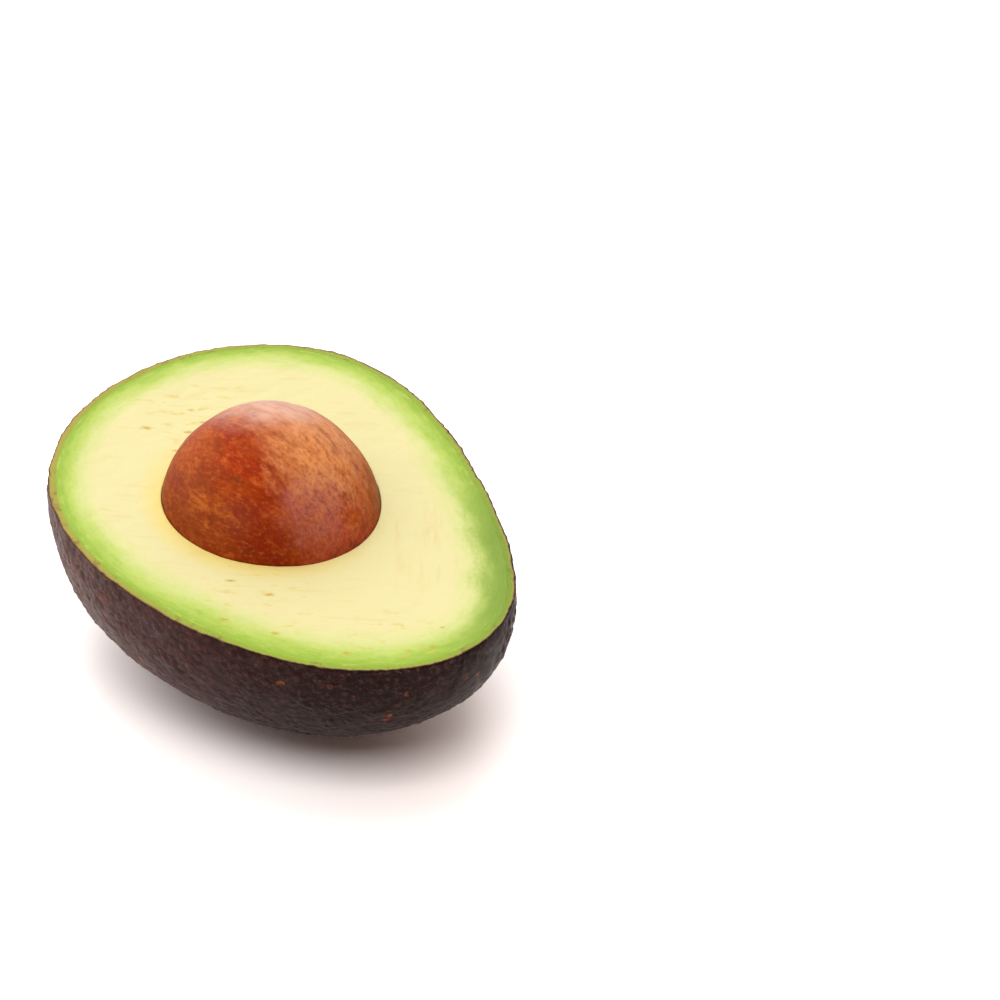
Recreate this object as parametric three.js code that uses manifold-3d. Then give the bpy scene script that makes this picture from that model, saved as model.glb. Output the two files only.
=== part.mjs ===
// Half of a ripe avocado, lying on its peel with the cut face up and the seed still in its hollow.
// Three solids: the pebbled peel, the flesh that fills it, and the seed, which can be lifted out.
// Millimetres. The origin is the middle of the flat spot that the half rests on. +Z is up, and
// seen from above +X runs along the fruit towards its narrow end, where the stem grew.
// The fruit is shaped with its cut face level, and then leans over to where its weight rests.
import * as THREE from "three";
import { mergeVertices } from "three/addons/utils/BufferGeometryUtils.js";
import Module from "manifold-3d";

const wasm = await Module();
wasm.setup();

// Driving dimensions of the half fruit
const LENGTH = 95; // blossom end to stem end
const WIDTH = 72; // across the cut face
const DEPTH = 37.9; // below the cut face
const CUT_ABOVE = 0.102; // how far above the fruit's middle the knife passed, as a share of its radius
const TAPER = 0.164; // how much slimmer the stem end is than the middle, seen from above
const DEPTH_TAPER = 0.202; // the same, seen from the side
const END_FULLNESS = 0.039; // how blunt both ends are
const SHOULDER = 0.017; // how early the outline draws in towards the stem end
const BOW = 2.4; // sideways bow of the fruit's middle
const SWAY = 1.9; // how far the two ends lean opposite ways

// How the half lies, which is where its weight is over the resting spot
const LEAN = 9; // degrees that the cut face slopes down
const LEAN_TOWARDS = -34; // degrees from +X to the side that it slopes down to
const REST_CUT = 0.7; // how much peel the flat resting spot takes off

// Driving dimensions of the layers
const PEEL_THICKNESS = 1.3;
const GAP = 0.3; // between neighbouring pieces

// Driving dimensions of the seed
const SEED_LENGTH = 39.2;
const SEED_WIDTH = 36.4;
const SEED_TAPER = 0.06; // how much slimmer it is towards the stem end
const SEED_AT = new THREE.Vector3(-4.4, -2.6, -2.9); // its middle, from the middle of the cut face
const SEED_TURN = 10; // degrees about the vertical

// Pebbles of the peel
const PEBBLE_SPACING = 3; // least distance between two pebbles
const PEBBLE_HEIGHT = 0.85; // of the tallest
const PEBBLE_LOWEST = 0.5; // share of that height which the lowest has
const PEBBLE_REACH = 2.3; // radius of one pebble's foot
const PEBBLE_DRAW = 11; // seed of the draw of their places and heights
const SMOOTH_FROM = 0.9; // share of the half length beyond which the stem end grows smooth
const SMOOTH_REST_RADIUS = 12; // the pebbles fade towards the resting spot within this distance

// Colour and roughness of each piece
const PEEL_LOOK = { color: 0x3b2a28, roughness: 0.45, metalness: 0 };
const FLESH_LOOK = { color: 0xeee79a, roughness: 0.5, metalness: 0 };
const SEED_LOOK = { color: 0x9c4f22, roughness: 0.5, metalness: 0 };

// Edges that each face of the starting icosahedron is divided into; even, so that edges follow the cut
const PEEL_DIVISIONS = 30;
const INNER_DIVISIONS = 12;
const SEED_DIVISIONS = 10;

const SAME_POINT = 1e-5; // on a unit sphere, vertices closer than this are one
const NUDGE = 1e-4; // on a unit sphere, the step for measuring slopes
const NEAR_POLE = 0.9; // height on a unit sphere above which slopes are measured from another axis
const REST_SEARCH = 0.5; // the lowest point is searched this far from the middle, on a unit sphere
const REST_SEARCH_STEPS = 250;
const CUT_BLOCK = 300; // side of the block that takes away what lies above or below a plane

// A small seeded generator of numbers from 0 to 1, so that each build draws the same ones
function seededRandom(seed) {
  const factor = 1664525;
  const step = 1013904223;
  let state = seed;
  return () => {
    state = (Math.imul(state, factor) + step) >>> 0;
    return state / 2 ** 32;
  };
}

// A unit sphere of even triangles, turned so that a ring of its edges lies in the plane z = 0
function unitSphere(divisions) {
  const golden = (1 + Math.sqrt(5)) / 2;
  const corner = new THREE.Vector3(0, 1, golden).normalize();
  const upright = new THREE.Quaternion().setFromUnitVectors(corner, new THREE.Vector3(0, 0, 1));
  const sphere = new THREE.IcosahedronGeometry(1, divisions - 1).applyQuaternion(upright);
  sphere.deleteAttribute("normal");
  sphere.deleteAttribute("uv");
  return mergeVertices(sphere, SAME_POINT);
}

// The same sphere with each vertex moved to shape(direction)
function shapedSphere(divisions, shape) {
  const geometry = unitSphere(divisions);
  const position = geometry.getAttribute("position");
  const direction = new THREE.Vector3();
  for (let i = 0; i < position.count; i++) {
    direction.fromBufferAttribute(position, i);
    if (Math.abs(direction.z) < SAME_POINT) {
      direction.z = 0;
    }
    const point = shape(direction.normalize(), i);
    position.setXYZ(i, point.x, point.y, point.z);
  }
  return geometry;
}

// Girth of the fruit at a share of its half length, with the taper of one of its two views
function girth(along, taper) {
  const fullness = END_FULLNESS * (2 * along ** 2 - 1);
  return 1 - taper * along + fullness;
}

// How much wider than a half ellipsoid the fruit is at a share of its depth below the cut
function swell(drop) {
  return Math.sqrt((1 - CUT_ABOVE + drop * (1 + CUT_ABOVE)) / ((1 + drop) * (1 - CUT_ABOVE)));
}

// The smooth fruit: its surface point in a unit direction, with the cut face in the plane z = 0
function fruitPoint(direction) {
  const wider = swell(Math.abs(direction.z));
  const along = direction.x * wider;
  const across = direction.y * wider;
  const shoulder = SHOULDER * (4 * along ** 3 - 3 * along);
  const bow = (BOW + SWAY * along) * (1 - along ** 2);
  return new THREE.Vector3(
    (LENGTH / 2) * along,
    (WIDTH / 2) * across * (girth(along, TAPER) + shoulder) - bow,
    DEPTH * direction.z * girth(along, DEPTH_TAPER),
  );
}

// The smooth seed in its own place, from the middle of the cut face
function seedPoint(direction) {
  const slimness = 1 - SEED_TAPER * direction.x;
  return new THREE.Vector3(
    (SEED_LENGTH / 2) * direction.x,
    (SEED_WIDTH / 2) * direction.y * slimness,
    (SEED_WIDTH / 2) * direction.z * slimness,
  )
    .applyAxisAngle(new THREE.Vector3(0, 0, 1), THREE.MathUtils.degToRad(SEED_TURN))
    .add(SEED_AT);
}

// Outward normal of a shaped sphere in a direction, from the slopes along two tangents
function normalOf(shape, direction) {
  const across = Math.abs(direction.z) < NEAR_POLE ? [0, 0, 1] : [1, 0, 0];
  const east = new THREE.Vector3(...across).cross(direction).normalize();
  const north = new THREE.Vector3().crossVectors(direction, east);
  const pointTowards = (tangent, step) => shape(direction.clone().addScaledVector(tangent, step).normalize());
  const slope = (tangent) => pointTowards(tangent, NUDGE).sub(pointTowards(tangent, -NUDGE));
  return slope(east).cross(slope(north)).normalize();
}

// A shape moved out along its normals by a distance, which may be negative
function offset(shape, distance) {
  return (direction) => shape(direction).addScaledVector(normalOf(shape, direction), distance);
}

// Chooses pebble tops among the given points, in a seeded shuffled order, keeping them apart
function pebbleTops(points) {
  const random = seededRandom(PEBBLE_DRAW);
  const shuffled = points
    .map((point) => ({ point, order: random() }))
    .sort((a, b) => a.order - b.order);
  const tops = [];
  for (const { point } of shuffled) {
    if (tops.every((top) => top.at.distanceTo(point) > PEBBLE_SPACING)) {
      tops.push({ at: point, height: PEBBLE_HEIGHT * THREE.MathUtils.lerp(PEBBLE_LOWEST, 1, random()) });
    }
  }
  return tops;
}

// Height of the pebbles at a point: each is a dome that ends softly at its foot
function pebbleHeight(point, tops) {
  let height = 0;
  for (const top of tops) {
    const reach = top.at.distanceTo(point) / PEBBLE_REACH;
    if (reach < 1) {
      height = Math.max(height, top.height * (1 - reach ** 2) ** 2);
    }
  }
  return height;
}

// The turn from the level fruit to the way it lies, and the direction that is up once it lies so
const towards = THREE.MathUtils.degToRad(LEAN_TOWARDS);
const leanAxis = new THREE.Vector3(-Math.sin(towards), Math.cos(towards), 0);
const lean = new THREE.Quaternion().setFromAxisAngle(leanAxis, THREE.MathUtils.degToRad(LEAN));
const unlean = lean.clone().invert();
const up = new THREE.Vector3(0, 0, 1).applyQuaternion(unlean);

// The point of the smooth fruit that is lowest as it lies
function lowestPoint() {
  const step = REST_SEARCH / REST_SEARCH_STEPS;
  let lowest = new THREE.Vector3();
  for (let x = -REST_SEARCH; x <= REST_SEARCH; x += step) {
    for (let y = -REST_SEARCH; y <= REST_SEARCH; y += step) {
      const point = fruitPoint(new THREE.Vector3(x, y, -Math.sqrt(1 - x ** 2 - y ** 2)));
      if (point.dot(up) < lowest.dot(up)) {
        lowest = point;
      }
    }
  }
  return lowest;
}

const REST_POINT = lowestPoint();

// How much of the pebbles' height is left at a point: none at the stem end and the resting spot
function roughness(direction, point) {
  const fromStem = 1 - THREE.MathUtils.smoothstep(direction.x, SMOOTH_FROM, 1);
  const restDistance = point.distanceTo(REST_POINT);
  return fromStem * THREE.MathUtils.smoothstep(restDistance, SMOOTH_REST_RADIUS / 2, SMOOTH_REST_RADIUS);
}

// The fruit with its pebbled skin, as a closed surface
function pebbledFruit() {
  const directions = [];
  const points = [];
  const geometry = shapedSphere(PEEL_DIVISIONS, (direction, i) => {
    directions[i] = direction.clone();
    points[i] = fruitPoint(direction);
    return points[i];
  });
  const position = geometry.getAttribute("position");
  const tops = pebbleTops(points);
  for (let i = 0; i < position.count; i++) {
    const height = pebbleHeight(points[i], tops) * roughness(directions[i], points[i]);
    const raised = points[i].clone().addScaledVector(normalOf(fruitPoint, directions[i]), height);
    position.setXYZ(i, raised.x, raised.y, raised.z);
  }
  return geometry;
}

// manifold-3d solid of a closed geometry, for joining and cutting
function solidOf(geometry) {
  return new wasm.Manifold(
    new wasm.Mesh({
      numProp: 3,
      vertProperties: new Float32Array(geometry.getAttribute("position").array),
      triVerts: new Uint32Array(geometry.index.array),
    }),
  );
}

// three.js geometry of a manifold-3d solid
function geometryOf(solid) {
  const mesh = solid.getMesh();
  const geometry = new THREE.BufferGeometry();
  geometry.setAttribute("position", new THREE.BufferAttribute(mesh.vertProperties, mesh.numProp));
  geometry.setIndex(new THREE.BufferAttribute(mesh.triVerts, 1));
  const faceted = geometry.toNonIndexed();
  faceted.computeVertexNormals();
  return faceted;
}

// A large block that reaches from height z up (side 1) or down (side -1), turned about the origin
function block(z, side, turn = new THREE.Quaternion()) {
  const box = new THREE.BoxGeometry(CUT_BLOCK, CUT_BLOCK, CUT_BLOCK);
  box.translate(0, 0, z + (side * CUT_BLOCK) / 2).applyQuaternion(turn);
  box.deleteAttribute("normal");
  box.deleteAttribute("uv");
  return solidOf(mergeVertices(box));
}

const aboveCut = block(0, 1);

function makePeel() {
  const outside = solidOf(pebbledFruit());
  const inside = solidOf(shapedSphere(INNER_DIVISIONS, offset(fruitPoint, -PEEL_THICKNESS)));
  const belowRest = block(REST_POINT.dot(up) + REST_CUT, -1, unlean);
  return outside.subtract(inside).subtract(aboveCut).subtract(belowRest);
}

function makeFlesh() {
  const outside = solidOf(shapedSphere(INNER_DIVISIONS, offset(fruitPoint, -PEEL_THICKNESS - GAP)));
  const hollow = solidOf(shapedSphere(SEED_DIVISIONS, offset(seedPoint, GAP)));
  return outside.subtract(aboveCut).subtract(hollow);
}

function makeSeed() {
  return solidOf(shapedSphere(SEED_DIVISIONS, seedPoint));
}

function piece(name, solid, look) {
  const mesh = new THREE.Mesh(geometryOf(solid), new THREE.MeshStandardMaterial(look));
  mesh.name = name;
  return mesh;
}

const avocadoHalf = new THREE.Group();
avocadoHalf.add(piece("peel", makePeel(), PEEL_LOOK));
avocadoHalf.add(piece("flesh", makeFlesh(), FLESH_LOOK));
avocadoHalf.add(piece("seed", makeSeed(), SEED_LOOK));
avocadoHalf.quaternion.copy(lean);
avocadoHalf.position.copy(REST_POINT.clone().applyQuaternion(lean).negate());
avocadoHalf.position.z -= REST_CUT;

export default avocadoHalf;
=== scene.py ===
# Looks of the avocado half: a finely pebbled peel, the cut flesh and the seed, built around the
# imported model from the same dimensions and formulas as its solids. Metres. Shapes are made with
# the cut face level and its middle at the origin, and then placed as the half lies in the packed
# frame: resting at z = 0 and leaning, with +X towards the narrow stem end as seen from above.
import math

import bmesh
import bpy
import numpy as np
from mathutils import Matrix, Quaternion, Vector
from mathutils.kdtree import KDTree


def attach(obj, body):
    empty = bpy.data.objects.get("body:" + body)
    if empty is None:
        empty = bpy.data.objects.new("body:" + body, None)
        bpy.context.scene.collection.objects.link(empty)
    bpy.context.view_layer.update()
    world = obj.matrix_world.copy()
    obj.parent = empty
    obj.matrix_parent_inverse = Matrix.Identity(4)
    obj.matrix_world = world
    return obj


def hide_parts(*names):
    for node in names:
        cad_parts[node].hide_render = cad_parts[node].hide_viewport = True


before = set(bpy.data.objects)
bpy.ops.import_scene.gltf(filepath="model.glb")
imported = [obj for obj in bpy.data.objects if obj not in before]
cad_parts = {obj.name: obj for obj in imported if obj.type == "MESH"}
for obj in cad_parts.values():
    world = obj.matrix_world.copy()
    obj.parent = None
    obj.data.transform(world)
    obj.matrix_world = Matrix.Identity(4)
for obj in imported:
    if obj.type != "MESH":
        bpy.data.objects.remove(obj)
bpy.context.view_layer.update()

MM = 0.001

# The half fruit, as in the solids
LENGTH = 95 * MM
WIDTH = 72 * MM
DEPTH = 37.9 * MM
CUT_ABOVE = 0.102
TAPER = 0.164
DEPTH_TAPER = 0.202
END_FULLNESS = 0.039
SHOULDER = 0.017
BOW = 2.4 * MM
SWAY = 1.9 * MM
PEEL_THICKNESS = 1.3 * MM

# How the half lies, as in the solids
LEAN = math.radians(9)
LEAN_TOWARDS = math.radians(-34)
REST_CUT = 0.7 * MM
REST_SEARCH = 0.5
REST_SEARCH_STEPS = 501

# The seed, as in the solids
SEED_LENGTH = 39.2 * MM
SEED_WIDTH = 36.4 * MM
SEED_TAPER = 0.06
SEED_AT = np.array([-4.4, -2.6, -2.9]) * MM
SEED_TURN = math.radians(10)

# Surface of the seed
SEED_BURIED = (2 * MM, -1 * MM)  # its relief fades out from the first height to the second
SEED_SINK = 0.07 * MM  # how far the part with the relief lies below the smooth seed
SEED_GAP = 0.01 * MM  # how far all of it does, besides

# Fine pebbles of the peel, at their real size
PEBBLE_SPACING = 1.15 * MM
SPACING_SPREAD = (0.7, 1.3)  # from the least to the most, as shares
PEBBLE_REACH = 0.95 * MM  # radius of a pebble's foot
PEBBLE_SEARCH = 1.6 * PEBBLE_REACH  # more than the widest spacing and the longest foot
PEBBLE_HEIGHT = 0.33 * MM
HEIGHT_SPREAD = (0.25, 1)  # from the least to the most, as shares
DOME_POWER = 1.2  # above 1, the pebbles have a narrower tip than a paraboloid
PEBBLE_BEND = 0.3 * MM  # how far the pebbles' feet are bent out of their oval shape
PEBBLE_BEND_LENGTH = 2 * MM
PEBBLE_STRETCH = (0.7, 1.6)  # how long a pebble's foot is, as a share of its width
RIM_CALM = 5 * MM  # towards the cut, the pebbles get lower within this distance
RIM_HEIGHT = 0.9  # share of their height that is left at the cut
PATCH_LENGTH = 12 * MM  # the pebbles are higher and lower in patches of about this size
PATCH_SHARE = 0.3  # by this share of their height
PEEL_SINK = 0.1 * MM  # the skin between the pebbles lies this much below the smooth fruit
RUSSET_SHARE = 0.012  # share of the pebbles with a corky brown tip
RUSSET_REACH = (0.3, 0.7)  # squared radius of the tip, as a share of the foot's
RUSSET_STRENGTH = (0.5, 1)
STEM_FROM = 0.9  # share of the half length beyond which the stem end is wrinkled, not pebbled
STEM_CALM = 0.7  # share of the pebbles' height that is lost at the stem end
WRINKLE_HEIGHT = 0.1 * MM
WRINKLE_LENGTH = 0.35  # on a unit circle round the stem
WRINKLE_SLANT = 0.3  # how much the wrinkles change along the fruit

# Mesh fineness
SKIN_SUBDIVISIONS = 8  # of the icosphere under the peel's outside
SEED_SUBDIVISIONS = 7
FLESH_COLUMNS = 800
FACE_ROWS = 96
LIP_ROWS = 6
WALL_ROWS = 12
BOWL_ROWS = 14
RIM_SHARES = (0.03, 0.08, 0.16, 0.3, 0.5, 0.75, 0.96, 1)  # rows across the cut edge of the peel

# Cut face
FLESH_OVERLAP = 0.02 * MM  # how far the flesh reaches into the peel, so that no gap shows
LIP_RADIUS = 0.2 * MM  # rounding of the flesh where it meets the seed
SEED_CLEARANCE = 0.03 * MM
RIM_LIFT = 0.08 * MM  # how far the flesh and the cut edge of the peel stand above the cut plane
RIM_RISE = 0.16  # share of the cut edge over which it rises from the skin
CORNER_SHARE = 0.004  # a first row this close to the peel keeps the corner crisp
CORNER_DROP = 0.2  # share of the lift by which the flesh lies lower in that corner
DEEP = 20  # millimetres from the peel where the flesh no longer changes
SPECK_CORE = 0.4  # share of a place's reach where its specks are the densest
SPECK_PLACES = [  # x, y, reach and share of the faint specks, in millimetres on the cut face
    (-33, -1, 15, 1),
    (-26, -6, 8, 0.8),
    (15, -20, 14, 0.8),
    (26, -19, 11, 0.8),
    (38, -9, 13, 1),
]
DASHES = [  # x, y and length of the brown dashes, in millimetres on the cut face
    (-27.7, -4.4, 1.7),
    (-28.6, -1.0, 1.5),
    (-24.6, -9.0, 1.3),
    (-32.9, -9.8, 2.2),
    (-32.7, -0.7, 1.3),
    (17.6, -27.4, 1.8),
    (25.2, -22.4, 1.6),
    (16.4, -17.6, 1.8),
    (9.8, -20.9, 1.6),
    (36.3, -15.6, 1.6),
    (41.5, -7.0, 1.1),
    (43.0, -3.1, 1.4),
    (40.0, 1.0, 1.0),
]
FIBRES_TURN = math.radians(50)  # direction of the fibres on the cut face, from +X towards +Y
GREEN_BAND = 8  # millimetres from the peel to where the flesh is all yellow
GREEN_WIDER = (0.18, -0.02)  # how much wider that is towards +X and +Y
SHADED_GREEN_AT = (36, 24, 0)  # where the band is darkest, a deeper green that is partly painted shade
MARKS_AT = (21, 14, 0)  # where the marks run across the fruit instead of along the fibres
MARKS_TURN = math.radians(144)  # direction of those marks, from +X towards +Y
WARM_AT = (-2, -24, 0)  # where the flesh next to the seed is a warmer yellow
TAN_RIM_AT = (-34, -30, 0)  # where the cut edge of the peel is tan rather than green

# Camera, as the photograph was taken
PHOTO_SIDE = 1000  # pixels
FACE_MIDDLE_PIXEL = (300.6, 505.7)  # where the middle of the cut face is seen
FOCAL_PIXELS = 5286
CAMERA_DISTANCE = 0.9
CAMERA_AZIMUTH = math.radians(56.04)
CAMERA_ELEVATION = math.radians(30)
CAMERA_ROLL = math.radians(-0.73)
SENSOR = 36  # millimetres

# Studio light
SOFTBOXES = [  # name, azimuth and elevation in degrees, distance, side and watts
    ("overhead", 236, 75, 1.2, 0.8, 5),
    ("front", 56, 56, 1.3, 0.75, 14.5),
]
FLOOR_SIDE = 3
FLOOR_TONES = [(0.95, 0.94, 0.93, 1), (0.96, 0.95, 0.94, 1)]
BRIGHT_SIDE = (math.radians(270), math.radians(15))  # azimuth and elevation
DARKEST_FROM = -0.8  # cosine of the angle from the bright side beyond which all is darkest
WORLD_STRENGTH = 2
WORLD_TONES = [  # from the darkest to the brightest side: stop, red, green, blue
    (0, 0.03, 0.008, 0.004),
    (0.2, 0.2, 0.08, 0.05),
    (0.45, 0.42, 0.26, 0.2),
    (1, 1, 1, 1),
]
STUDIO_GAIN = np.array([2.04, 1.86, 1.75])  # how bright a white surface is on the cut face

NUDGE = 1e-4  # on a unit sphere, the step for measuring slopes
ON_PLANE = 1e-4  # on a unit sphere, how near the cut a point is taken to be on it
BISECTIONS = 40  # halvings in the search for the hollow's outline
WAVES = 32  # waves in one layer of a relief
WAVE_SPREAD = (0.6, 1.6)  # length of the shortest and the longest wave, as shares of the layer's

# Reliefs, as layers of waves: height and length in millimetres, how dense the waves are along X, Y
# and Z, and the draw of their random directions
FACE_RELIEF = [
    (0.09, 14, (1, 1, 1), 1),  # the soft flesh yields a little
    (0.035, 2.2, (1, 0.25, 1), 2),  # the knife leaves faint ridges
]
PEEL_RELIEF = [
    (0.2, 16, (1, 1, 1), 4),
    (0.07, 5, (1, 1, 1), 5),
    (0.06, 2.4, (1, 1, 1), 11),
]
SEED_RELIEF = [
    (0.14, 14, (1, 1, 1), 6),
    (0.02, 1.2, (1, 1, 1), 8),
]
SEED_STREAKS = [(0.04, 3, (0.35, 1, 1), 7)]

# Patches of the peel's and the seed's skin, in millimetres from the middle of the cut face
LEFT_SHEEN_AT = (-32, -28, -12)  # where the painted sheen makes the peel greyest and lightest
PEEL_SHADE_AT = (52, -4, -14)  # where painted shade makes the peel darkest
SEED_PATCHES = [  # middle, reach, reach of the core, share and seen colour
    ((-3, -17.5, 7), 17, 2, 0.6, (160, 76, 32)),
    ((-7, -5, 15), 9, 2, 0.9, (180, 54, 0)),
    ((1, -9, 13), 11, 2, 0.9, (182, 46, 0)),
    ((2, 5, 14), 16, 5, 0.9, (262, 170, 100)),
    ((7, 11.5, 5), 9, 3, 0.7, (212, 104, 36)),
    # darker red low at the front of the seed: partly painted shade
    ((9.2, -13.5, 3.7), 12, 2, 0.85, (148, 28, 0)),
    ((13.7, -1, 1), 10, 2, 0.75, (224, 96, 64)),
    ((4, -15.8, 7), 6, 1, 0.6, (148, 58, 44)),
]
DUSK_AT = (10.8, -4.5, 7.5)  # a greyish pink patch on the seed
TOP_SHEEN_AT = (-13, 3, 14)  # a pale patch on the seed: a painted sheen along its top
STRANDS_AT = (7, 3, 12)  # middle of the pale strands on the seed


# ---------------------------------------------------------------- shapes

def unit(vectors):
    return vectors / np.linalg.norm(vectors, axis=-1, keepdims=True)


def smoothstep(value, low, high):
    share = np.clip((value - low) / (high - low), 0, 1)
    return share * share * (3 - 2 * share)


def girth(along, taper):
    """Width at a place along the fruit, as a share: less towards the stem, more at both ends."""
    return 1 - taper * along + END_FULLNESS * (2 * along**2 - 1)


def swell(drop):
    """How much wider than a half ellipsoid the fruit is at a share of its depth below the cut."""
    return np.sqrt((1 - CUT_ABOVE + drop * (1 + CUT_ABOVE)) / ((1 + drop) * (1 - CUT_ABOVE)))


def fruit_points(directions):
    """The smooth fruit's surface in unit directions."""
    wider = swell(np.abs(directions[:, 2]))
    along = directions[:, 0] * wider
    across = directions[:, 1] * wider
    shoulder = SHOULDER * (4 * along**3 - 3 * along)
    bow = (BOW + SWAY * along) * (1 - along**2)
    return np.stack([
        LENGTH / 2 * along,
        WIDTH / 2 * across * (girth(along, TAPER) + shoulder) - bow,
        DEPTH * directions[:, 2] * girth(along, DEPTH_TAPER),
    ], axis=1)


def seed_points(directions):
    """The smooth seed's surface in unit directions."""
    along, across, up = directions.T
    slimness = 1 - SEED_TAPER * along
    x = SEED_LENGTH / 2 * along
    y = SEED_WIDTH / 2 * across * slimness
    cos, sin = math.cos(SEED_TURN), math.sin(SEED_TURN)
    z = SEED_WIDTH / 2 * up * slimness
    return np.stack([cos * x - sin * y, sin * x + cos * y, z], axis=1) + SEED_AT


def normals_of(shape, directions):
    """Outward normals of a shape, from its slopes along two tangents."""
    pole = np.where(np.abs(directions[:, 2:]) < 0.9, [[0, 0, 1]], [[1, 0, 0]])
    east = unit(np.cross(pole, directions))
    north = np.cross(directions, east)
    slopes = [
        shape(unit(directions + NUDGE * tangent)) - shape(unit(directions - NUDGE * tangent))
        for tangent in (east, north)
    ]
    return unit(np.cross(*slopes))


def offset(shape, distance):
    """The shape moved out along its normals."""
    return lambda directions: shape(directions) + distance * normals_of(shape, directions)


def lean_matrix():
    """The turn from the level fruit to the way it lies."""
    axis = (-math.sin(LEAN_TOWARDS), math.cos(LEAN_TOWARDS), 0)
    return np.array(Quaternion(axis, LEAN).to_matrix())


def lowest_point():
    """The point of the smooth fruit that is lowest as it lies."""
    steps = np.linspace(-REST_SEARCH, REST_SEARCH, REST_SEARCH_STEPS)
    x, y = (grid.ravel() for grid in np.meshgrid(steps, steps))
    points = fruit_points(np.stack([x, y, -np.sqrt(1 - x**2 - y**2)], axis=1))
    return points[(points @ UP).argmin()]


TURN = lean_matrix()
UP = TURN[2]  # the direction that is up once the fruit lies
REST_POINT = lowest_point()
REST_HEIGHT = REST_POINT @ UP + REST_CUT
FACE_MIDDLE = -TURN @ REST_POINT - [0, 0, REST_CUT]


def waves(points, length, draw):
    """Smooth random relief of about -1 to 1: a sum of waves in seeded random directions."""
    random = np.random.default_rng(draw)
    vectors = unit(random.normal(size=(WAVES, 3)))
    vectors *= 2 * np.pi / (length * random.uniform(*WAVE_SPREAD, (WAVES, 1)))
    phases = random.uniform(0, 2 * np.pi, WAVES)
    return np.sin(points @ vectors.T + phases).sum(axis=1) / math.sqrt(2 * WAVES)


def relief(points, layers):
    """Height of a relief at each point, in metres: the sum of its layers of waves."""
    return sum(
        height * MM * waves(points * density, length * MM, draw)
        for height, length, density, draw in layers
    )


# ---------------------------------------------------------------- meshes

def rings(first, count, columns):
    """Quads that join rows of points, each row a closed ring of columns points."""
    faces = []
    for row in range(count - 1):
        here = first + row * columns
        above = here + columns
        for column in range(columns):
            after = (column + 1) % columns
            faces.append((here + column, here + after, above + after, above + column))
    return faces


def fan(ring, tip):
    """Triangles that close a ring of points with one point."""
    return [(a, b, tip) for a, b in zip(ring, [*ring[1:], ring[0]])]


def make_piece(name, points, faces, fields, material):
    """Makes the piece that stands for the CAD node of its name, with its place and other fields."""
    mesh = bpy.data.meshes.new(name)
    mesh.from_pydata((points @ TURN.T + FACE_MIDDLE).tolist(), [], faces)
    for field, values in {"place": points / MM, **fields}.items():
        is_vector = values.ndim == 2
        attribute = mesh.attributes.new(field, "FLOAT_VECTOR" if is_vector else "FLOAT", "POINT")
        attribute.data.foreach_set("vector" if is_vector else "value", values.astype(np.float32).ravel())
    faced = bmesh.new()
    faced.from_mesh(mesh)
    bmesh.ops.recalc_face_normals(faced, faces=faced.faces)
    faced.to_mesh(mesh)
    faced.free()
    mesh.shade_smooth()
    mesh.materials.append(material)
    piece = bpy.data.objects.new(name, mesh)
    bpy.context.scene.collection.objects.link(piece)
    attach(piece, "root")
    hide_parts(name)


def icosphere(subdivisions, keep=lambda point: True):
    """Unit directions and triangles of an even sphere, or of the part of it to keep."""
    sphere = bmesh.new()
    bmesh.ops.create_icosphere(sphere, subdivisions=subdivisions, radius=1)
    unwanted = [vertex for vertex in sphere.verts if not keep(vertex.co)]
    bmesh.ops.delete(sphere, geom=unwanted, context="VERTS")
    sphere.verts.index_update()
    directions = unit(np.array([vertex.co for vertex in sphere.verts]))
    triangles = [tuple(vertex.index for vertex in face.verts) for face in sphere.faces]
    sphere.free()
    return directions, triangles


# ---------------------------------------------------------------- peel

def pebbles(points):
    """Share of the pebbles' height at each point, and how corky brown its pebble's tip is there."""
    random = np.random.default_rng(3)
    bends = [waves(points, PEBBLE_BEND_LENGTH, draw) for draw in (12, 13, 14)]
    points = points + PEBBLE_BEND * np.stack(bends, axis=1)
    tree = KDTree(len(points))
    for index, point in enumerate(points):
        tree.insert(point, index)
    tree.balance()
    free = np.ones(len(points), bool)
    height, russet = np.zeros((2, len(points)))
    for index in random.permutation(len(points)):
        if not free[index]:
            continue
        spacing = PEBBLE_SPACING * random.uniform(*SPACING_SPREAD)
        near = np.array([found[1] for found in tree.find_range(points[index], PEBBLE_SEARCH)])
        steps = points[near] - points[index]
        distance = np.linalg.norm(steps, axis=1)
        free[near[distance < spacing]] = False
        length = random.uniform(*PEBBLE_STRETCH)
        lengthways = steps @ unit(random.normal(size=3))
        squared = (distance**2 - lengthways**2 + (lengthways / length) ** 2) / PEBBLE_REACH**2
        dome = random.uniform(*HEIGHT_SPREAD) * np.clip(1 - squared * length, 0, 1) ** DOME_POWER
        height[near] = np.maximum(height[near], dome)
        if random.uniform() < RUSSET_SHARE:
            spot = smoothstep(squared, random.uniform(*RUSSET_REACH), 0)
            spot *= random.uniform(*RUSSET_STRENGTH)
            russet[near] = np.maximum(russet[near], spot)
    return height, russet


def stem_wrinkles(directions):
    """Fine wrinkles that run together at the stem end, from -1 to 1."""
    around = np.arctan2(directions[:, 2], directions[:, 1])
    spokes = np.stack([np.cos(around), np.sin(around), WRINKLE_SLANT * directions[:, 0]], axis=1)
    return waves(spokes, WRINKLE_LENGTH, 9)


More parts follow.
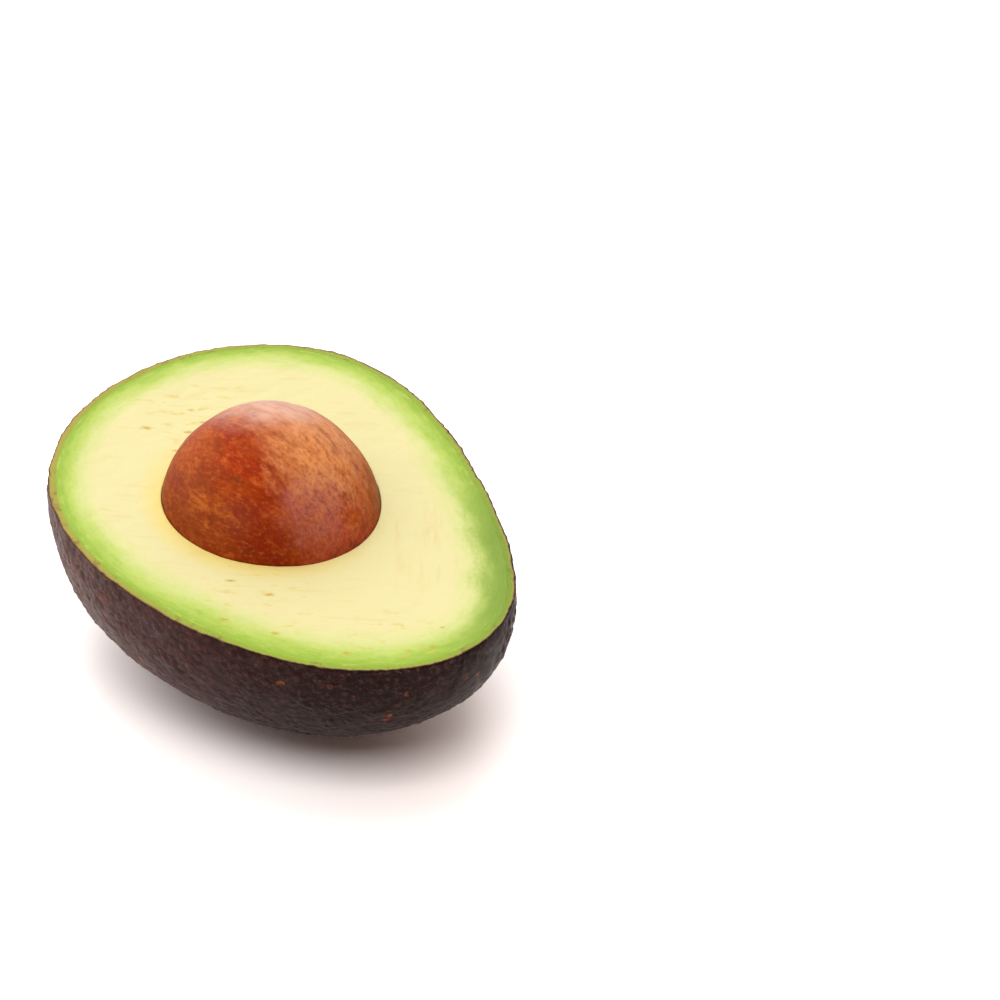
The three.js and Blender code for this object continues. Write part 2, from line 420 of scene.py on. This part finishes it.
def peel_outside(directions, height):
    """The pebbled outside of the peel, pressed flat where the half rests."""
    smooth = fruit_points(directions)
    stem = smoothstep(directions[:, 0], STEM_FROM, 1)
    calm = RIM_HEIGHT + (1 - RIM_HEIGHT) * smoothstep(-smooth[:, 2], 0, RIM_CALM)
    patches = np.clip(waves(smooth, PATCH_LENGTH, 10), -1, 1)
    rough = 1 - PATCH_SHARE + PATCH_SHARE * patches
    lift = PEBBLE_HEIGHT * height * rough * calm * (1 - STEM_CALM * stem)
    lift += (relief(smooth, PEEL_RELIEF) - PEEL_SINK) * (1 - stem)
    lift += WRINKLE_HEIGHT * stem * (stem_wrinkles(directions) - 1)
    outside = smooth + normals_of(fruit_points, directions) * lift[:, None]
    pressed = np.maximum(REST_HEIGHT - outside @ UP, 0)
    return outside + pressed[:, None] * UP


def peel_inside(rim, rim_directions):
    """Closed rows of points across the cut edge and down the inside, and the point at the bottom."""
    inside = offset(fruit_points, -PEEL_THICKNESS)
    inner_rim = inside(rim_directions)
    rows = []
    for share in RIM_SHARES:
        row = rim * (1 - share) + inner_rim * share
        row[:, 2] = RIM_LIFT * smoothstep(share, 0, RIM_RISE) + relief(row, FACE_RELIEF) * share
        rows.append(row)
    for drop in np.linspace(0, np.pi / 2, WALL_ROWS, endpoint=False)[1:]:
        around = rim_directions * math.cos(drop)
        around[:, 2] = -math.sin(drop)
        rows.append(inside(around))
    return rows, inside(np.array([[0, 0, -1.0]]))


def peel_piece():
    directions, faces = icosphere(SKIN_SUBDIVISIONS, lambda point: point.z < ON_PLANE)
    directions[np.abs(directions[:, 2]) < ON_PLANE, 2] = 0
    height, russet = pebbles(fruit_points(directions))
    outside = peel_outside(directions, height)
    rim = np.flatnonzero(directions[:, 2] == 0)
    rim = rim[np.argsort(np.arctan2(directions[rim, 1], directions[rim, 0]))]
    outside[rim, 2] = 0
    rows, bottom = peel_inside(outside[rim], directions[rim])

    first = len(outside)
    columns = len(rim)
    points = np.concatenate([outside, *rows, bottom])
    faces += [
        (rim[i], rim[(i + 1) % columns], first + (i + 1) % columns, first + i)
        for i in range(columns)
    ]
    faces += rings(first, len(rows), columns)
    last_ring = range(first + (len(rows) - 1) * columns, first + len(rows) * columns)
    faces += fan(last_ring, len(points) - 1)

    inside = np.zeros(len(points) - first)
    layer = np.zeros(len(points))
    layer[first:] = 1
    for row, share in enumerate(RIM_SHARES):
        layer[first + row * columns:first + (row + 1) * columns] = share
    fields = {
        "pebble": np.concatenate([height, inside]),
        "russet": np.concatenate([russet, inside]),
        "layer": layer,
    }
    make_piece("peel", points, faces, fields, peel_material())


# ---------------------------------------------------------------- flesh

def seed_outline(angles, level):
    """The hollow's outline at a height, in directions round the seed's upright axis."""
    hollow = offset(seed_points, SEED_CLEARANCE)
    low = np.full(len(angles), -np.pi / 2)
    high = np.full(len(angles), np.pi / 2)
    for _ in range(BISECTIONS):
        middle = (low + high) / 2
        points = hollow(directions_at(angles, middle))
        below = points[:, 2] < level
        low = np.where(below, middle, low)
        high = np.where(below, high, middle)
    return points, middle


def directions_at(angles, heights):
    """Unit directions at angles round the upright axis and at one height or a height for each."""
    angles, heights = np.broadcast_arrays(angles, heights)
    return np.stack([
        np.cos(angles) * np.cos(heights),
        np.sin(angles) * np.cos(heights),
        np.sin(heights),
    ], axis=1)


def face_rows(rim, edge):
    """Closed rows of points over the cut face, from the peel to the hollow's rounded lip."""
    inward = unit(edge - rim)
    lip = edge - inward * LIP_RADIUS
    rows = []
    for share in [0, CORNER_SHARE, *np.linspace(0, 1, FACE_ROWS)[1:]]:
        row = rim * (1 - share) + lip * share
        lift = RIM_LIFT * (1 - CORNER_DROP * math.exp(-share / CORNER_SHARE))
        row[:, 2] = relief(row, FACE_RELIEF) + lift
        rows.append(row)
    for turn in np.linspace(0, np.pi / 2, LIP_ROWS + 1)[1:]:
        row = lip + inward * LIP_RADIUS * math.sin(turn)
        drop = LIP_RADIUS * (1 - math.cos(turn))
        row[:, 2] = (relief(row, FACE_RELIEF) + RIM_LIFT) * math.cos(turn) - drop
        rows.append(row)
    return rows


def face_fields(rows, rim, edge):
    """Depth from the peel, distance from the seed, and grain that runs in from the rim; millimetres."""
    depth, seed_distance, grain = [], [], []
    for row in rows:
        flat = row[:, None, :2]
        depth.append(np.linalg.norm(flat - rim[None, :, :2], axis=2).min(axis=1) / MM)
        seed_distance.append(np.linalg.norm(flat - edge[None, :, :2], axis=2).min(axis=1) / MM)
        from_rim = np.linalg.norm(row - rim, axis=1)
        grain.append(np.column_stack([rim[:, :2], from_rim]) / MM)
    return [np.concatenate(field) for field in (depth, seed_distance, grain)]


def flesh_piece():
    angles = np.linspace(0, 2 * np.pi, FLESH_COLUMNS, endpoint=False)
    wall = offset(fruit_points, FLESH_OVERLAP - PEEL_THICKNESS)
    hollow = offset(seed_points, SEED_CLEARANCE)
    rim = wall(directions_at(angles, 0))
    hollow_angles = np.unwrap(np.arctan2(rim[:, 1] - SEED_AT[1], rim[:, 0] - SEED_AT[0])) - SEED_TURN
    edge, edge_heights = seed_outline(hollow_angles, -LIP_RADIUS)
    edge[:, 2] = 0

    drops = np.linspace(-np.pi / 2, 0, WALL_ROWS, endpoint=False)[1:]
    walls = [wall(directions_at(angles, drop)) for drop in drops]
    face = face_rows(rim, edge)
    bowl = []
    for share in np.linspace(0, 1, BOWL_ROWS, endpoint=False)[1:]:
        heights = edge_heights * (1 - share) - np.pi / 2 * share
        bowl.append(hollow(directions_at(hollow_angles, heights)))
    rows = [*walls, *face, *bowl]
    down = np.array([[0, 0, -1.0]])
    points = np.concatenate([*rows, wall(down), hollow(down)])
    count = len(rows)
    faces = rings(0, count, FLESH_COLUMNS)
    faces += fan(range(FLESH_COLUMNS), len(points) - 2)
    faces += fan(range((count - 1) * FLESH_COLUMNS, count * FLESH_COLUMNS), len(points) - 1)

    here = slice(len(walls) * FLESH_COLUMNS, (len(walls) + len(face)) * FLESH_COLUMNS)
    depth = np.full(len(points), DEEP, float)
    seed_distance = np.zeros(len(points))
    grain = np.zeros((len(points), 3))
    depth[here], seed_distance[here], grain[here] = face_fields(face, rim, edge)
    fields = {
        "depth": depth,
        "seed_distance": seed_distance,
        "grain": grain,
        "specks": speck_density(points),
        "band": GREEN_BAND * (1 + unit(points)[:, :2] @ GREEN_WIDER),
    }
    make_piece("flesh", points, faces, fields, flesh_material())


def speck_density(points):
    """Share of brown specks at each point: they gather in a few places."""
    density = np.zeros(len(points))
    for x, y, reach, share in SPECK_PLACES:
        distance = np.linalg.norm(points[:, :2] - np.array([x, y]) * MM, axis=1)
        density = np.maximum(density, share * smoothstep(distance, reach * MM, SPECK_CORE * reach * MM))
    return density


# ---------------------------------------------------------------- seed

def seed_piece():
    directions, faces = icosphere(SEED_SUBDIVISIONS)
    smooth = seed_points(directions)
    buried = smoothstep(smooth[:, 2], *SEED_BURIED)
    lift = relief(smooth, SEED_RELIEF) + relief(smooth - SEED_AT, SEED_STREAKS) - SEED_SINK
    lift = lift * (1 - buried) - SEED_GAP
    points = smooth + normals_of(seed_points, directions) * lift[:, None]
    make_piece("seed", points, faces, {}, seed_material())


# ---------------------------------------------------------------- materials

def seen(red, green, blue):
    """Linear colour of a matt surface that looks like an 8-bit sRGB one in the studio's light."""
    shares = np.array([red, green, blue]) / 255
    linear = np.where(shares <= 0.04045, shares / 12.92, ((shares + 0.055) / 1.055) ** 2.4)
    return (*(linear / STUDIO_GAIN).tolist(), 1)


def set_stops(color_ramp, stops):
    for position, colour in stops[1:-1]:
        color_ramp.elements.new(position).color = colour
    color_ramp.elements[0].position, color_ramp.elements[0].color = stops[0]
    color_ramp.elements[-1].position, color_ramp.elements[-1].color = stops[-1]


class Paint:
    """A material whose nodes are added one call at a time. Most methods return an output."""

    def __init__(self, name):
        self.material = bpy.data.materials.new(name)
        self.material.use_nodes = True
        self.tree = self.material.node_tree
        self.shader = self.tree.nodes["Principled BSDF"]

    def set(self, socket, value):
        if isinstance(value, bpy.types.NodeSocket):
            self.tree.links.new(value, socket)
        else:
            socket.default_value = value

    def node(self, kind, inputs, **settings):
        node = self.tree.nodes.new("ShaderNode" + kind)
        for name, value in settings.items():
            setattr(node, name, value)
        for key, value in inputs.items():
            self.set(node.inputs[key], value)
        return node

    def field(self, name):
        return self.node("Attribute", {}, attribute_name=name).outputs["Fac"]

    def place(self, scale=(1, 1, 1), turn=0, field="place"):
        """A place in millimetres, turned about the level fruit's upright axis and then scaled."""
        place = self.node("Attribute", {}, attribute_name=field).outputs["Vector"]
        turned = self.node("Mapping", {"Vector": place, "Rotation": (0, 0, turn)}).outputs[0]
        return self.node("Mapping", {"Vector": turned, "Scale": scale}).outputs[0]

    def near(self, centre, reach, core, wander=0):
        """How near a place in millimetres is: 1 within the core and 0 beyond the reach."""
        steps = self.node("VectorMath", {0: self.place(), 1: centre}, operation="DISTANCE")
        return self.step(self.add(steps.outputs["Value"], wander), reach, core)

    def dash(self, centre, length, width, turn, wander):
        """A soft-edged oval mark on the cut face, long in a direction from +X towards +Y."""
        step = self.node("VectorMath", {0: self.place(), 1: centre}, operation="SUBTRACT")
        turned = self.node("Mapping", {"Vector": step.outputs[0], "Rotation": (0, 0, -turn)})
        scale = (2 / length, 2 / width, 0)
        shrunk = self.node("VectorMath", {0: turned.outputs[0], 1: scale}, operation="MULTIPLY")
        distance = self.node("VectorMath", {0: shrunk.outputs[0]}, operation="LENGTH")
        return self.step(self.add(distance.outputs["Value"], wander), 1.5, 0)

    def noise(self, size, detail=3, place=None, roughness=0.5, distortion=0):
        """Noise of about 0 to 1, with features of a size in millimetres."""
        inputs = {
            "Vector": place or self.place(),
            "Scale": 1 / size,
            "Detail": detail,
            "Roughness": roughness,
            "Distortion": distortion,
        }
        return self.node("TexNoise", inputs).outputs["Fac"]

    def math(self, operation, first, second=0):
        return self.node("Math", {0: first, 1: second}, operation=operation).outputs[0]

    def add(self, first, second):
        return self.math("ADD", first, second)

    def times(self, first, second):
        return self.math("MULTIPLY", first, second)

    def sway(self, noise, amount):
        """A noise turned into values of about plus and minus half the amount."""
        return self.times(self.add(noise, -0.5), amount)

    def step(self, value, low, high, bottom=0, top=1):
        """The value's way from low to high, as a smooth step from bottom to top."""
        inputs = {"Value": value, "From Min": low, "From Max": high, "To Min": bottom, "To Max": top}
        return self.node("MapRange", inputs, interpolation_type="SMOOTHSTEP").outputs[0]

    def mix(self, share, first, second):
        inputs = {0: share, 6: first, 7: second}
        return self.node("Mix", inputs, data_type="RGBA").outputs[2]

    def ramp(self, value, stops):
        """Colour at a value, between stops of (position, colour)."""
        node = self.node("ValToRGB", {"Fac": value})
        set_stops(node.color_ramp, stops)
        return node.outputs["Color"]

    def bump(self, height, distance, strength):
        inputs = {"Height": height, "Distance": distance, "Strength": strength}
        return self.node("Bump", inputs).outputs["Normal"]

    def finish(self, **inputs):
        for name, value in inputs.items():
            self.set(self.shader.inputs[name.replace("_", " ")], value)
        return self.material


RIM_GREEN = seen(168, 194, 66)  # the outermost flesh, and the inside of the peel that runs into it
# a deeper green towards the stem end, darkened further by painted shade
SHADED_GREEN = seen(136, 166, 58)


def shaded_green_share(paint):
    """Share of the deep green, partly painted shade, where the outermost flesh is darkest."""
    return paint.times(paint.near(SHADED_GREEN_AT, 34, 8), 0.8)


def peel_material():
    """Dark maroon skin with painted shade in the valleys, paler tips that are painted highlights, a
    painted sheen towards the left flank, painted shade towards the right and a few corky brown tips.
    """
    paint = Paint("peel")
    pebble = paint.field("pebble")
    fine = paint.noise(0.7, 5, roughness=0.7)
    skin = paint.mix(paint.step(paint.noise(14, 4), 0.35, 0.7), seen(58, 22, 18), seen(79, 38, 32))
    # painted sheen: the peel is lighter and greyer towards the left flank
    left_sheen = paint.near(LEFT_SHEEN_AT, 55, 10)
    skin = paint.mix(paint.times(left_sheen, 0.7), skin, seen(122, 82, 74))
    # painted shade: darker towards the right of the peel
    skin = paint.mix(paint.times(paint.near(PEEL_SHADE_AT, 60, 20), 0.9), skin, seen(24, 9, 7))
    red = paint.times(paint.step(paint.noise(1.8, 5, roughness=0.65), 0.52, 0.68), pebble)
    skin = paint.mix(paint.times(red, 0.6), skin, seen(100, 50, 40))
    # painted shade: darker skin in the valleys between the pebbles
    skin = paint.mix(paint.step(pebble, 0.45, 0, 0, 0.6), skin, seen(26, 11, 9))
    # painted highlights: paler pebble tips, strongest in the painted sheen
    pale = paint.times(paint.step(fine, 0.48, 0.68), paint.step(pebble, 0, 0.6, 0.25, 0.75))
    pale = paint.times(pale, paint.step(left_sheen, 0, 1, 0.4, 1))
    skin = paint.mix(pale, skin, seen(152, 104, 92))
    russet = paint.times(paint.field("russet"), paint.step(fine, 0.4, 0.55))
    skin = paint.mix(russet, skin, seen(190, 96, 44))
    colour = paint.mix(paint.step(paint.field("layer"), 0.01, 0.06), skin, cut_edge_colour(paint))
    wrinkles = paint.add(paint.noise(0.35, 4, roughness=0.65), paint.noise(0.9, 3))
    return paint.finish(
        Base_Color=colour,
        Roughness=paint.step(paint.noise(3, 3), 0.3, 0.7, 0.36, 0.5),
        Specular_IOR_Level=0.08,
        Specular_Tint=(1, 0.78, 0.72, 1),
        Normal=paint.bump(wrinkles, 0.16 * MM, 1),
    )


def cut_edge_colour(paint):
    """Colour across the cut edge of the peel: brown outside, and green where it meets the flesh."""
    ragged = paint.add(
        paint.sway(paint.noise(1.1, 5, roughness=0.7), 0.7),
        paint.sway(paint.noise(12), 0.5),
    )
    layer = paint.add(paint.field("layer"), ragged)
    edge = paint.ramp(layer, [
        (0.06, seen(52, 36, 32)),
        (0.15, seen(112, 86, 62)),
        (0.25, seen(172, 148, 82)),
        (0.38, seen(178, 172, 76)),
        (0.56, RIM_GREEN),
        (1, RIM_GREEN),
    ])
    # the deep green, partly painted shade, runs onto the cut edge of the peel
    edge = paint.mix(paint.times(shaded_green_share(paint), paint.step(layer, 0.3, 0.6)), edge, SHADED_GREEN)
    tan = paint.times(paint.near(TAN_RIM_AT, 70, 10), paint.step(layer, 1.3, 0.5))
    edge = paint.mix(paint.times(tan, 0.8), edge, seen(200, 172, 84))
    crust = paint.step(paint.field("layer"), 0.26, 0.08, 0, 0.85)
    edge = paint.mix(crust, edge, seen(60, 44, 38))
    blotch = paint.step(paint.noise(2.5, 4, roughness=0.7), 0.54, 0.68, 0, 0.6)
    return paint.mix(blotch, edge, seen(146, 112, 62))


def flesh_material():
    """Pale yellow flesh with a streaky green band under the peel, faint tan marks and specks."""
    paint = Paint("flesh")
    depth = paint.field("depth")
    streaks = paint.noise(1, 5, paint.place((0.3, 0.3, 1.3), field="grain"), 0.65, 0.3)
    patches = paint.noise(1, 4, paint.place((0.1, 0.1, 0.3), field="grain"), 0.6)
    mottle = paint.noise(1, 5, roughness=0.7)
    sway = paint.add(paint.sway(streaks, 3), paint.add(paint.sway(patches, 5), paint.sway(mottle, 2)))
    wavy = paint.add(depth, paint.times(sway, paint.step(depth, 0, 3)))
    share = paint.math("DIVIDE", wavy, paint.field("band"))
    green = paint.step(share, 0.75, 0.1)
    colour = flesh_band(paint, share, green, streaks)
    warm = paint.times(paint.step(paint.field("seed_distance"), 5, 0), paint.near(WARM_AT, 40, 12))
    colour = paint.mix(warm, colour, seen(262, 234, 138))
    aged = paint.times(flesh_marks(paint), paint.step(share, 0.6, 1.1))
    colour = paint.mix(aged, colour, seen(246, 214, 132))
    faint, dark = flesh_specks(paint)
    colour = paint.mix(faint, colour, seen(240, 206, 92))
    colour = paint.mix(dark, colour, seen(224, 166, 52))
    torn = paint.add(1, paint.times(green, 2.5))
    return paint.finish(
        Base_Color=colour,
        Roughness=0.55,
        Specular_IOR_Level=0.2,
        Subsurface_Weight=0.2,
        Subsurface_Radius=(1, 0.8, 0.3),
        Subsurface_Scale=1.2 * MM,
        Normal=paint.bump(paint.add(mottle, paint.times(streaks, torn)), 0.06 * MM, 0.8),
    )


def flesh_band(paint, share, green, streaks):
    """Colour from the green under the peel to the yellow inside, at a share of the green band."""
    colour = paint.ramp(share, [
        (0, RIM_GREEN),
        (0.08, seen(174, 203, 68)),
        (0.2, seen(190, 214, 88)),
        (0.32, seen(205, 224, 102)),
        (0.45, seen(221, 232, 126)),
        (0.6, seen(235, 237, 148)),
        (0.8, seen(246, 239, 163)),
        (1, seen(253, 239, 172)),
    ])
    vivid = paint.times(paint.step(streaks, 0.5, 0.6), green)
    colour = paint.mix(paint.times(vivid, 0.45), colour, seen(150, 200, 42))
    light = paint.times(paint.step(streaks, 0.47, 0.37), green)
    colour = paint.mix(paint.times(light, 0.4), colour, seen(220, 232, 106))
    # partly painted shade: the deep green where the band is darkest
    return paint.mix(paint.times(shaded_green_share(paint), green), colour, SHADED_GREEN)


def flesh_marks(paint):
    """Share of the faint tan marks, which run along the fibres, or across them at one place."""
    along = paint.noise(1, 5, paint.place((0.08, 0.6, 0.6), -FIBRES_TURN), 0.65)
    across = paint.noise(1, 5, paint.place((0.08, 0.5, 0.5), -MARKS_TURN), 0.6)
    crossed = paint.near(MARKS_AT, 18, 6)
    return paint.add(
        paint.times(paint.step(along, 0.54, 0.7, 0, 0.35), paint.math("SUBTRACT", 1, crossed)),
        paint.times(paint.step(across, 0.5, 0.68, 0, 0.35), crossed),
    )


def flesh_specks(paint):
    """Shares of the marks along the fibres: many faint and ragged ones, and a few brown dashes."""
    ragged = paint.noise(1.3, 4, paint.place((0.35, 0.8, 0.8), -FIBRES_TURN), 0.6)
    faint = paint.times(paint.step(ragged, 0.56, 0.7, 0, 0.6), paint.field("specks"))
    wander = paint.sway(paint.noise(0.6, 4), 1.6)
    dark = 0
    for x, y, length in DASHES:
        dash = paint.dash((x, y, 0), length, 0.45 * length, FIBRES_TURN, wander)
        dark = paint.math("MAXIMUM", dark, dash)
    return faint, paint.times(dark, 0.8)


def seed_material():
    """Chestnut skin with clouded patches, darker strands along the seed, a darker red low at the front
    that is partly painted shade, and a pale painted sheen along the top.
    """
    paint = Paint("seed")
    along = paint.place((0.3, 1, 1), -SEED_TURN)
    cloud = paint.noise(7, 5, roughness=0.6)
    mottle = paint.noise(3, 6, paint.place((0.6, 1, 1), -SEED_TURN), 0.66)
    strands = paint.noise(1.5, 6, along, 0.68)
    grain = paint.noise(0.6, 4, paint.place((0.5, 1, 1), -SEED_TURN), 0.7)
    wander = paint.add(paint.sway(mottle, 10), paint.sway(cloud, 12))
    colour = paint.mix(paint.step(cloud, 0.4, 0.6), seen(184, 58, 4), seen(206, 88, 18))
    for middle, reach, core, share, tone in SEED_PATCHES:
        patch = paint.times(paint.near(middle, reach, core, wander), share)
        colour = paint.mix(patch, colour, seen(*tone))
    colour = paint.mix(paint.step(mottle, 0.46, 0.74, 0, 0.65), colour, seen(124, 42, 18))
    colour = paint.mix(paint.step(mottle, 0.47, 0.32, 0, 0.45), colour, seen(240, 128, 40))
    dusk = paint.times(paint.near(DUSK_AT, 9, 2, wander), paint.step(strands, 0.38, 0.62, 0.3, 1))
    colour = paint.mix(paint.times(dusk, 0.85), colour, seen(206, 122, 106))
    colour = paint.mix(paint.step(strands, 0.48, 0.74, 0, 0.6), colour, seen(146, 52, 18))
    pale = paint.times(paint.step(strands, 0.5, 0.32), paint.near(STRANDS_AT, 17, 7))
    colour = paint.mix(paint.times(pale, 0.5), colour, seen(240, 166, 112))
    colour = paint.mix(paint.step(grain, 0.6, 0.28, 0, 0.5), colour, seen(136, 46, 12))
    # painted sheen: a pale patch along the top of the seed
    top_sheen = paint.near(TOP_SHEEN_AT, 13, 4, paint.sway(cloud, 6))
    top_sheen = paint.times(top_sheen, paint.step(strands, 0.62, 0.38, 0.55, 0.85))
    colour = paint.mix(top_sheen, colour, seen(250, 200, 172))
    colour = paint.mix(paint.step(grain, 0.48, 0.74, 0, 0.35), colour, seen(236, 134, 60))
    return paint.finish(
        Base_Color=colour,
        Roughness=paint.step(cloud, 0.3, 0.7, 0.4, 0.5),
        Specular_IOR_Level=0.06,
        Normal=paint.bump(grain, 0.08 * MM, 0.8),
    )


# ---------------------------------------------------------------- stage

def make_floor():
    half = FLOOR_SIDE / 2
    mesh = bpy.data.meshes.new("floor")
    corners = [(-half, -half, 0), (half, -half, 0), (half, half, 0), (-half, half, 0)]
    mesh.from_pydata(corners, [], [(0, 1, 2, 3)])
    floor = bpy.data.objects.new("floor", mesh)
    bpy.context.scene.collection.objects.link(floor)
    paint = Paint("floor")
    tone = paint.mix(paint.noise(40), *FLOOR_TONES)
    mesh.materials.append(paint.finish(Base_Color=tone, Roughness=0.7))


def make_softbox(name, azimuth, elevation, distance, side, watts):
    """A square area light that points at the origin from a viewing angle and makes no highlight."""
    light = bpy.data.lights.new(name, "AREA")
    light.shape = "SQUARE"
    light.size = side
    light.energy = watts
    box = bpy.data.objects.new(name, light)
    box.visible_camera = False
    box.visible_glossy = False
    bpy.context.scene.collection.objects.link(box)
    towards = facing(math.radians(azimuth), math.radians(elevation))
    box.location = towards * distance
    box.rotation_mode = "QUATERNION"
    box.rotation_quaternion = towards.to_track_quat("Z", "Y")


def facing(azimuth, elevation):
    """Unit vector towards a viewer; azimuth 0 looks along +Y and 90 degrees along -X."""
    level = math.cos(elevation)
    return Vector((math.sin(azimuth) * level, -math.cos(azimuth) * level, math.sin(elevation)))


def make_camera():
    back = facing(CAMERA_AZIMUTH, CAMERA_ELEVATION)
    yaw = math.atan((FACE_MIDDLE_PIXEL[0] - PHOTO_SIDE / 2) / FOCAL_PIXELS)
    pitch = math.atan((FACE_MIDDLE_PIXEL[1] - PHOTO_SIDE / 2) / FOCAL_PIXELS * math.cos(yaw))
    data = bpy.data.cameras.new("camera")
    data.sensor_width = SENSOR
    data.lens = SENSOR * FOCAL_PIXELS / PHOTO_SIDE
    camera = bpy.data.objects.new("camera", data)
    camera.location = Vector(FACE_MIDDLE) + back * CAMERA_DISTANCE
    camera.rotation_mode = "QUATERNION"
    straight = (-back).to_track_quat("-Z", "Y")
    turns = [((0, 0, 1), CAMERA_ROLL), ((0, 1, 0), yaw), ((1, 0, 0), pitch)]
    for axis, angle in turns:
        straight = straight @ Quaternion(axis, angle)
    camera.rotation_quaternion = straight
    bpy.context.scene.collection.objects.link(camera)
    bpy.context.scene.camera = camera


def make_world():
    """A studio that is bright and white on one side, and dim and warm on the other."""
    world = bpy.data.worlds.new("studio")
    world.use_nodes = True
    nodes, links = world.node_tree.nodes, world.node_tree.links
    direction = nodes.new("ShaderNodeTexCoord").outputs["Generated"]
    towards = nodes.new("ShaderNodeVectorMath")
    towards.operation = "DOT_PRODUCT"
    towards.inputs[1].default_value = facing(*BRIGHT_SIDE)
    links.new(direction, towards.inputs[0])
    share = nodes.new("ShaderNodeMapRange")
    share.interpolation_type = "SMOOTHSTEP"
    share.inputs["From Min"].default_value = DARKEST_FROM
    links.new(towards.outputs["Value"], share.inputs["Value"])
    tones = nodes.new("ShaderNodeValToRGB")
    set_stops(tones.color_ramp, [(stop, (*tone, 1)) for stop, *tone in WORLD_TONES])
    links.new(share.outputs[0], tones.inputs["Fac"])
    links.new(tones.outputs["Color"], nodes["Background"].inputs["Color"])
    nodes["Background"].inputs["Strength"].default_value = WORLD_STRENGTH
    bpy.context.scene.world = world
    bpy.context.scene.view_settings.view_transform = "Standard"


make_camera()
make_world()
make_floor()
for softbox in SOFTBOXES:
    make_softbox(*softbox)
peel_piece()
flesh_piece()
seed_piece()
